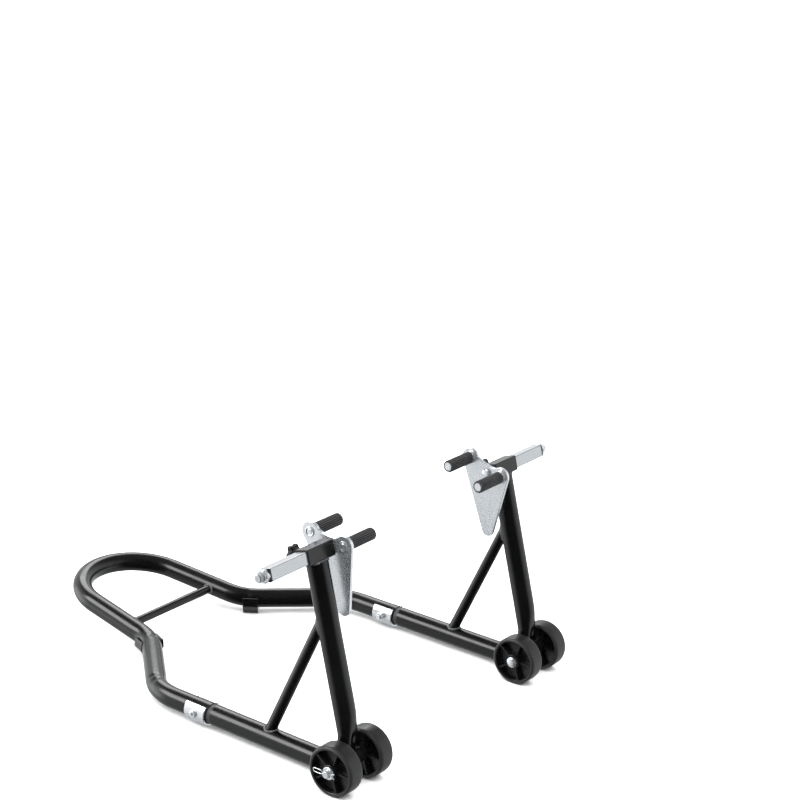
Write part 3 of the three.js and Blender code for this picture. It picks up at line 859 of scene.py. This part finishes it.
def hex_nut(mesh, place, across_flats, low, high, bore):
    """A hexagon nut with its corners turned off on both faces."""
    half = across_flats / 2
    slant = (across_flats / math.sqrt(3) - half) * 0.62

    def hexagon(limit):
        return lambda angle: min(half / math.cos(angle % (math.pi / 3) - math.pi / 6), limit)

    layers = [
        (low, hexagon(half * 0.97)), (low + slant, hexagon(99)), (high - slant, hexagon(99)),
        (high, hexagon(half * 0.97)), (high, lambda angle: bore + 0.7),
        (high - 0.7, lambda angle: bore), (low + 0.7, lambda angle: bore),
        (low, lambda angle: bore + 0.7),
    ]
    shaped_rings(mesh, layers, 48, place)


def shaped_rings(mesh, layers, count, place, closed=True):
    """Joins rings about the X axis: each layer is (along, radius as a function of angle)."""
    rings = []
    for along, radius_at in layers:
        ring = []
        for i in range(count):
            angle = 2 * math.pi * i / count
            radius = radius_at(angle)
            spot = Vector((along, radius * math.cos(angle), radius * math.sin(angle))) * MM
            ring.append(mesh.verts.new(place @ spot))
        rings.append(ring)
    for first, second in zip(rings, rings[1:]):
        ring_faces(mesh, first, second)
    if closed:
        ring_faces(mesh, rings[-1], rings[0])
    return rings


# ---- Wheels ----
WHEEL_SIDES = 96
RIBS = 5
LATHE_SIDES = 44
LATHE_SMOOTH = 26
WIRE_R = 0.88 * MM
PIN_ALONG = 59


def mirrored_profile(right):
    """A whole section from its + half, as (radius, along) points in mm."""
    return right + [(radius, -along) for radius, along in reversed(right)]


def core_profile():
    """Half section of a wheel's core: long hub, thin web and the inside of the rim."""
    right = [(6.3, 16.4), (6.9, 17), (11.2, 17), (12, 16.2), (12.3, 5.2), (13.2, 3.6)]
    right += [(14.8, 3.1), (30.6, 3.1), (32.2, 3.7), (33, 5.2), (33.4, 14), (34, 14.6)]
    return mirrored_profile(right + [(35.4, 14.6), (36.2, 13.8)])


def tread_profile():
    """Half section of the tread, flat in the middle with round shoulders."""
    right = [(35.2, 14.2), (35.4, 14.8), (36, 15), (37, 14.9), (38.2, 14.2), (39.2, 13)]
    return mirrored_profile(right + [(39.8, 11.4), (40, 9.5), (40, 1)])


def rib(mesh, place, angle, side):
    """One rib of a wheel, thickened where it meets the hub and the rim."""
    # Distance out from the hub and half width, in mm.
    stations = [(10.8, 2.6), (12.6, 2.1), (15, 1.7), (23, 1.5), (30, 1.7), (32.4, 2.3), (34, 2.9)]
    rings = []
    for radius, width in stations:
        ring = [
            (2.6, -width), (2.6, width), (11.6, width * 0.92),
            (12.2, width * 0.7), (12.2, -width * 0.7), (11.6, -width * 0.92),
        ]
        rings.append([mesh.verts.new(place @ spoke(a * side, radius, w, angle)) for a, w in ring])
    for first, second in zip(rings, rings[1:]):
        ring_faces(mesh, first, second)
    mesh.faces.new(rings[0])
    mesh.faces.new(rings[-1])


def spoke(along, radius, width, angle):
    """A point on a rib: radius out from the hub, width to its side. Angle 0 points to -Y."""
    y = -radius * math.cos(angle) + width * math.sin(angle)
    z = -radius * math.sin(angle) - width * math.cos(angle)
    return Vector((along, y, z)) * MM


def make_wheel(body):
    place = Matrix.Translation(Vector(JOINTS[f"{body}_spin"]["pos_m"]))
    mesh = bmesh.new()
    turned(mesh, core_profile(), WHEEL_SIDES, place)
    for i in range(RIBS):
        for side in (-1, 1):
            rib(mesh, place, 2 * math.pi * i / RIBS, side)
    piece(f"{body}_core", mesh, WHEEL, body, [body], smooth_angle=32)
    mesh = bmesh.new()
    turned(mesh, tread_profile(), WHEEL_SIDES, place)
    piece(f"{body}_tread", mesh, TREAD, body, smooth_angle=50)


def make_axle(name, sign):
    """The axle with its washer, the bush in the heel and the split pin."""
    place = side_place(sign, AXLE.y, AXLE.z, x=HALF_TRACK)
    make_axle_bar(name, place)
    make_washer(name, place)
    make_bush(name, place)
    make_split_pin(name, place)


def make_axle_bar(name, place):
    mesh = bmesh.new()
    profile = [(0, -59), (4.5, -58.9), (7.2, -58.3), (8.6, -57.2), (9, -55.9), (9, -55.2)]
    profile += [(8.8, -55), (6, -55), (6, 61.6), (5.9, 62.2), (5.2, 63.3), (4.9, 63.5), (0, 63.5)]
    turned(mesh, profile, LATHE_SIDES, place, closed=False)
    piece(
        f"axle_bar_{name}", mesh, ZINC_BAR, "frame", [f"axle_{name}"],
        smooth_angle=LATHE_SMOOTH)


def make_washer(name, place):
    mesh = bmesh.new()
    profile = [(6.3, 55.2), (6.3, 56.8), (6.5, 57), (9.4, 57), (9.8, 56.7), (10, 56.2)]
    turned(mesh, profile + [(10, 55.5), (9.6, 55), (6.6, 55)], LATHE_SIDES, place)
    piece(
        f"washer_{name}", mesh, ZINC, "frame", [f"axle_washer_{name}"],
        smooth_angle=LATHE_SMOOTH)


def make_bush(name, place):
    mesh = bmesh.new()
    profile = [(6.3, -19.2), (6.6, -19.5), (10.4, -19.5), (11, -18.9)]
    turned(mesh, mirrored_profile(profile), LATHE_SIDES, place)
    piece(f"bush_{name}", mesh, COAT, "frame", [f"axle_bush_{name}"])


def make_split_pin(name, place):
    """One bent wire: an eye towards the handle and two tails turned apart past the axle."""
    half = 3
    corners = [
        (-13.6, -3.9), (-7.5, -1.1), (7.5, -1.1), (11, -half), (25, -half),
        (25, half), (11, half), (7.5, 1.1), (-7.5, 1.1), (-13.6, 3.9),
    ]
    line = [place @ (Vector((PIN_ALONG, y, z)) * MM) for y, z in corners]
    radii = [radius * MM for radius in (2, 2, 1.5, 2.8, 2.8, 1.5, 2, 2)]
    points = bent_line(line, radii, 0.8 * MM)
    mesh = bmesh.new()
    swept_tube(mesh, points, lambda i, angle: WIRE_R, 12, X_AXIS)
    piece(f"cotter_{name}", mesh, ZINC, "frame", [f"split_pin_{name}"])


# ---- Head: receiver, knob, slide. Numbers along X are in mm, from the stand's middle ----
RECEIVER_HALF = 12.5
RECEIVER_REACH = 30
SLIDE_HALF = 10
SLIDE_START = 212
SLIDE_END = 357
SQUARE_WALL = 2
BOLT_HOLE = 6.8
PIN_FACE = 204.7
KNOB_SHIFT = 5 * MM
KNOB_START = 29.5
STAR_SIDES = 96


def head_place(sign, x=0.0):
    return side_place(sign, HEAD.y, HEAD.z, -LEAN, x)


def square_tube(mesh, half, corner, wall, low, high, place):
    """A square tube with rounded corners and softly broken end edges."""
    inner = max(corner - wall, 0.4)
    lip = 0.35
    sections = [
        (low, half - lip, corner - lip), (low + lip, half, corner), (high - lip, half, corner),
        (high, half - lip, corner - lip), (high, half - wall + lip, inner + lip),
        (high - lip, half - wall, inner), (low + lip, half - wall, inner),
        (low, half - wall + lip, inner + lip),
    ]
    rings = []
    for along, size, radius in sections:
        ring = rounded_square(size, max(radius, 0.2), 6)
        rings.append([mesh.verts.new(place @ (Vector((along, u, v)) * MM)) for u, v in ring])
    for i in range(len(rings)):
        ring_faces(mesh, rings[i], rings[(i + 1) % len(rings)])


def make_head(name, sign):
    """The receiver on the upright, the weld under it and the knob behind it."""
    place = head_place(sign, HALF_TRACK)
    mesh = bmesh.new()
    square_tube(
        mesh, RECEIVER_HALF, 2.6, SQUARE_WALL, -RECEIVER_REACH, RECEIVER_REACH, place)
    piece(f"receiver_tube_{name}", mesh, COAT, "frame", [f"receiver_{name}"])
    line = []
    for k in range(48):
        angle = 2 * math.pi * k / 48
        y = max(-12.2, min(12.2, 16.6 * math.sin(angle)))
        line.append(place @ (Vector((16.9 * math.cos(angle), y, -13)) * MM))
    weld_bead(f"receiver_weld_{name}", line, RECEIVER_WELD, LEAN_WAY, 30)
    make_knob(name, knob_place(sign))


def knob_place(sign):
    """X of this matrix runs along the clamp knob's axis, out of the receiver."""
    turn = Matrix(((0, 1, 0, KNOB_SHIFT), (1, 0, 0, 0), (0, 0, 1, 0), (0, 0, 0, 1)))
    return head_place(sign, HALF_TRACK) @ turn


def make_knob(name, place):
    """The boss on the receiver, the stud through it and the star knob on the stud."""
    make_boss(name, place)
    make_stud(name, place)
    make_knob_head(name, place)


def make_boss(name, place):
    mesh = bmesh.new()
    profile = [(4.3, 12.6), (4.3, 21), (4.8, 21.6), (7.2, 21.6), (8, 20.8), (8, 12.6)]
    turned(mesh, profile, 40, place)
    piece(f"boss_{name}", mesh, COAT, "frame", [f"clamp_boss_{name}"])


def make_stud(name, place):
    mesh = bmesh.new()
    profile = [(0, 10.3), (3.2, 10.3), (3.6, 10.9), (3.6, 38.5), (0, 38.5)]
    turned(mesh, profile, 28, place, closed=False)
    thread(mesh, place, 3.5, 3.98, 11, 30, 1.25)
    piece(f"stud_{name}", mesh, ZINC, f"knob_{name}", [f"knob_stud_{name}"])


def make_knob_head(name, place):
    mesh = bmesh.new()
    star(mesh, place)
    collar = [(4.3, 0), (7.4, 0), (8, 0.5), (9, 3.6), (4.3, 3.6)]
    turned(mesh, [(radius, KNOB_START + along) for radius, along in collar], 40, place)
    piece(f"knob_head_{name}", mesh, KNOB, f"knob_{name}", [f"star_knob_{name}"])


def star(mesh, place):
    """Six rounded lobes, domed at the end. Each level is (along, radius, depth of the lobes)."""
    levels = [
        (3, 12.6, 0.8), (3.4, 13.8, 1.6), (4.4, 14.8, 2.3), (5.5, 15, 2.4), (9.2, 15, 2.4),
        (10.6, 14.5, 2.3), (11.5, 13.4, 1.9), (12, 11.6, 1.2), (12, 6, 0.0),
    ]

    def lobed(size, depth):
        return lambda angle: size - depth + depth * math.cos(6 * angle)

    layers = [(KNOB_START + along, lobed(size, depth)) for along, size, depth in levels]
    rings = shaped_rings(mesh, layers, STAR_SIDES, place, closed=False)
    mesh.faces.new(rings[0])
    mesh.faces.new(rings[-1])


def make_slide(name, sign):
    """The square slide, its end cap, and the pivot bolt through it with its nut."""
    place = head_place(sign)
    body = f"slide_{name}"
    mesh = bmesh.new()
    square_tube(mesh, SLIDE_HALF, 1.5, SQUARE_WALL, SLIDE_START, SLIDE_END, place)
    piece(f"slide_tube_{name}", mesh, ZINC_BAR, body, [f"slide_{name}"])
    make_cap(name, body, place)
    mesh = bmesh.new()
    hex_nut(mesh, place, 20, 360.1, 368.1, BOLT_HOLE)
    piece(f"nut_{name}", mesh, ZINC, body, [f"pivot_nut_{name}"])
    make_pivot_bolt(name, body, place)


def make_cap(name, body, place):
    """The black cap: a thin flange on the slide's end and a plug inside it."""
    mesh = bmesh.new()
    outer = rounded_square(SLIDE_HALF, 1.6, 6)
    hole = circle(0, 0, BOLT_HOLE)
    outline_prism(mesh, [outer, hole], 357.3, 359.8, place)
    plug = rounded_square(7.7, 0.6, 3)
    outline_prism(mesh, [plug, hole], 346, 357.2, place)
    piece(f"cap_{name}", mesh, KNOB, body, [f"slide_cap_{name}"], bevel=0.4 * MM)


def make_pivot_bolt(name, body, place):
    """A long bolt with a domed head against the pin plate and its thread past the nut."""
    mesh = bmesh.new()
    face = PIN_FACE
    profile = [(0, face - 3.5), (3, face - 3.45), (5.6, face - 3.1), (7.8, face - 2.2)]
    profile += [(8.8, face - 1.1), (9, face - 0.2), (8.8, face), (6.5, face)]
    profile += [(6.5, 367), (6, 367.6), (6, 376.2), (5.2, 377.05), (0, 377.05)]
    turned(mesh, profile, 40, place, closed=False)
    thread(mesh, place, 5.95, 6.45, 367.4, 376.4, 1.5)
    piece(f"bolt_{name}", mesh, ZINC_BAR, body, [f"pivot_bolt_{name}"])


# ---- Pin plates. Outline points are (u, v) in mm, with the two pins at v = 0 ----
PLATE_START = 205
PLATE_END = 211
PIN_HOLE = 5.3
PIN_U = 31.5
PIVOT = (-8, -8)
TAIL = (-46, -98)
DIP = 5.5
LOBE_R = 15.45
TAIL_R = 10.95


def plate_outline():
    """Two lobes with a shallow dip between them, and straight flanks down to a round tail."""
    def tangent(start):
        heading = math.atan2(TAIL[1], TAIL[0] - start)
        gap = math.hypot(TAIL[0] - start, TAIL[1])
        return math.degrees(heading), math.degrees(math.acos((LOBE_R - TAIL_R) / gap))

    far_heading, far_lift = tangent(PIN_U)
    near_heading, near_lift = tangent(-PIN_U)
    far_angle = far_heading + far_lift
    near_angle = near_heading - near_lift + 360
    points = arc(PIN_U, 0, LOBE_R, far_angle, 145, 26)
    points += curve(points[-1], (PIN_U - LOBE_R - 2, DIP), (0, DIP), 8)[1:]
    rise = math.radians(35)
    last = (-PIN_U + LOBE_R * math.cos(rise), LOBE_R * math.sin(rise))
    points += curve((0, DIP), (-PIN_U + LOBE_R + 2, DIP), last, 8)[1:]
    points += arc(-PIN_U, 0, LOBE_R, 35, near_angle, 26)[1:]
    points += arc(*TAIL, TAIL_R, near_angle, far_angle + 360, 20)
    return points


def curve(start, middle, end, count):
    """A smooth curve from start to end that heads for the middle point."""
    points = []
    for k in range(count + 1):
        t = k / count
        a, b, c = (1 - t) ** 2, 2 * t * (1 - t), t * t
        points.append(tuple(a * p + b * q + c * r for p, q, r in zip(start, middle, end)))
    return points


def make_plate(name, sign, tilt):
    """A pin plate hung on the pivot bolt at its tilt, with its two pins."""
    spin = Matrix.Rotation(math.radians(tilt), 4, "X")
    mirror = Matrix.Diagonal((sign, 1, 1, 1))
    shift = Matrix.Translation(Vector((0, -PIVOT[0], -PIVOT[1])) * MM)
    place = Matrix.Translation((0, HEAD.y, HEAD.z)) @ spin @ mirror @ shift
    body = f"pin_plate_{name}"
    mesh = bmesh.new()
    holes = [circle(*PIVOT, BOLT_HOLE), circle(-PIN_U, 0, PIN_HOLE), circle(PIN_U, 0, PIN_HOLE)]
    outline_prism(mesh, [plate_outline(), *holes], PLATE_START, PLATE_END, place)
    piece(f"plate_{name}", mesh, ZINC, body, [f"pin_plate_{name}"], bevel=0.8 * MM)
    for where, u in (("front", PIN_U), ("rear", -PIN_U)):
        pin_place = place @ Matrix.Translation(Vector((0, u, 0)) * MM)
        make_pin(f"{where}_{name}", body, pin_place)


def make_pin(label, body, place):
    """A lift pin with its flange and riveted end, and the rubber sleeve on it."""
    face = PIN_FACE
    tip = 140.9
    flange = face - 4
    mesh = bmesh.new()
    profile = [(0, tip), (6.1, tip), (6.9, tip + 0.8), (6.9, flange)]
    profile += [(10.3, flange), (11, flange + 0.7), (11, face - 0.7), (10.3, face), (5, face)]
    profile += [(5, 211.3), (7.4, 211.3), (8, 211.9), (7.7, 212.6), (6.8, 212.9), (5.6, 212.5)]
    profile += [(4.9, 212.1), (4.2, 212.5), (0, 212.7)]
    turned(mesh, profile, LATHE_SIDES, place, closed=False)
    piece(
        f"pin_{label}", mesh, ZINC, body, [f"lift_pin_{label}"],
        smooth_angle=LATHE_SMOOTH)
    mesh = bmesh.new()
    ribbed_sleeve(mesh, place, tip + 0.5, flange - 0.3)
    piece(f"sleeve_{label}", mesh, RUBBER, body, [f"pin_sleeve_{label}"], smooth_angle=60)


SLEEVE_RIBS = 20
SLEEVE_R = 8.7
RIB_HEIGHT = 1.3


def crest(angle):
    """1 on a rib and 0 in the groove beside it."""
    return (0.5 + 0.5 * math.cos(SLEEVE_RIBS * angle)) ** 0.8


def ribbed_sleeve(mesh, place, low, high):
    """A rubber sleeve with fine ribs along its length."""
    def ribbed(give):
        return lambda angle: SLEEVE_R + RIB_HEIGHT * crest(angle) - give

    layers = [(low + 0.1, ribbed(0.9)), (low + 0.5, ribbed(0.35)), (low + 1.2, ribbed(0))]
    layers += [(high - 0.6, ribbed(0)), (high, ribbed(0.5))]
    layers += [(high, lambda angle: 7.3), (low + 0.1, lambda angle: 7.3)]
    shaped_rings(mesh, layers, 160, place)


# ---- Assembly ----
make_handle()
make_cross_brace()
make_diagonals()
for side_name, side_sign, side_tilt in SIDES:
    make_side_frame(side_name, side_sign)
    make_foot(side_name)
    make_joint(side_name, side_sign)
    make_saddle(side_name, side_sign)
    make_wheel(f"wheel_outer_{side_name}")
    make_wheel(f"wheel_inner_{side_name}")
    make_axle(side_name, side_sign)
    make_head(side_name, side_sign)
    make_slide(side_name, side_sign)
    make_plate(side_name, side_sign, side_tilt)


def dress_nodes():
    """Gives every CAD node the look of its slot, shown or not."""
    for node in frame["nodes"].values():
        slot = node.data.materials[0].name
        node.data.materials.clear()
        node.data.materials.append(SLOT_LOOKS[slot.split(".")[0]])


dress_nodes()


# ---- Floor, world and lights ----
FLOOR_DROP = 0.0002
AIM = (0, 0, 0.15)
SKY_POWER = 8
# Each shade is a direction, where along it the change starts and ends, and the light it takes.
SHADES = (
    ((0, 0, 1), 0.35, 0.75, 0.8),
    ((-0.78, -0.6, -0.2), 0.2, 0.75, 0.97),
    ((0, 0, -1), 0.3, 0.8, 0.5),
    ((-0.3, 0.95, -0.05), 0.88, 0.98, -1.5),
)


def make_floor():
    """A plain white floor. Glossy metal mirrors the studio round it, not the floor."""
    mesh = bmesh.new()
    size = 40
    corners = [(-size, -size), (size, -size), (size, size), (-size, size)]
    mesh.faces.new([mesh.verts.new((x, y, -FLOOR_DROP)) for x, y in corners])
    data = bpy.data.meshes.new("floor")
    mesh.to_mesh(data)
    mesh.free()
    floor = bpy.data.objects.new("floor", data)
    floor.visible_glossy = False
    scene.collection.objects.link(floor)
    n = Nodes("floor_look")
    color = n.mix(n.noise(3, 2), (0.8, 0.8, 0.8), (0.82, 0.82, 0.82))
    roughness = n.spread(n.noise(5, 2), 0.7, 0.8)
    data.materials.append(n.finish(color, roughness, n.bump(n.noise(60, 2), 0.0002, 0.2)))


def facing(tree, direction, start, end, high):
    """0 to high as the looked-at part of the sky turns towards a direction."""
    where = tree.nodes.new("ShaderNodeTexCoord").outputs["Generated"]
    dot = tree.nodes.new("ShaderNodeVectorMath")
    dot.operation = "DOT_PRODUCT"
    dot.inputs[1].default_value = direction
    tree.links.new(where, dot.inputs[0])
    ramp = tree.nodes.new("ShaderNodeMapRange")
    ramp.interpolation_type = "SMOOTHSTEP"
    ramp.inputs["From Min"].default_value = start
    ramp.inputs["From Max"].default_value = end
    ramp.inputs["To Max"].default_value = high
    tree.links.new(dot.outputs["Value"], ramp.inputs["Value"])
    return ramp.outputs["Result"]


def math_node(tree, operation, first, second):
    """A shader value from one of two others. first may be a plain number."""
    node = tree.nodes.new("ShaderNodeMath")
    node.operation = operation
    if isinstance(first, float):
        node.inputs[0].default_value = first
    else:
        tree.links.new(first, node.inputs[0])
    tree.links.new(second, node.inputs[1])
    return node.outputs[0]


def make_world():
    """A white studio: dim overhead, dark behind the camera, bright beyond the handle."""
    world = bpy.data.worlds.new("studio")
    scene.world = world
    world.use_nodes = True
    tree = world.node_tree
    kept = [math_node(tree, "SUBTRACT", 1.0, facing(tree, *shade)) for shade in SHADES]
    level = kept[0]
    for share in kept[1:]:
        level = math_node(tree, "MULTIPLY", share, level)
    tree.links.new(level, tree.nodes["Background"].inputs["Strength"])
    tree.nodes["Background"].inputs["Color"].default_value = (0.97, 0.985, 1, 1)


def area_light(name, where, size, power):
    data = bpy.data.lights.new(name, "AREA")
    data.shape = "RECTANGLE"
    data.size, data.size_y = size
    data.energy = power
    light = bpy.data.objects.new(name, data)
    light.location = where
    way = Vector(AIM) - Vector(where)
    light.rotation_euler = way.to_track_quat("-Z", "Y").to_euler()
    scene.collection.objects.link(light)


def make_sky_light():
    """Even soft light from overhead that keeps the whole floor white."""
    data = bpy.data.lights.new("sky", "SUN")
    data.energy = SKY_POWER
    data.angle = math.radians(90)
    light = bpy.data.objects.new("sky", data)
    light.rotation_euler = (math.radians(8), math.radians(-10), 0)
    light.visible_glossy = False
    scene.collection.objects.link(light)


make_floor()
make_world()
make_sky_light()
area_light("left_softbox", (-2.2, 2.0, 2.1), (2.6, 1.6), 90)
area_light("right_softbox", (2.0, 2.2, 2.4), (2.4, 1.4), 50)
scene.view_settings.view_transform = "Standard"
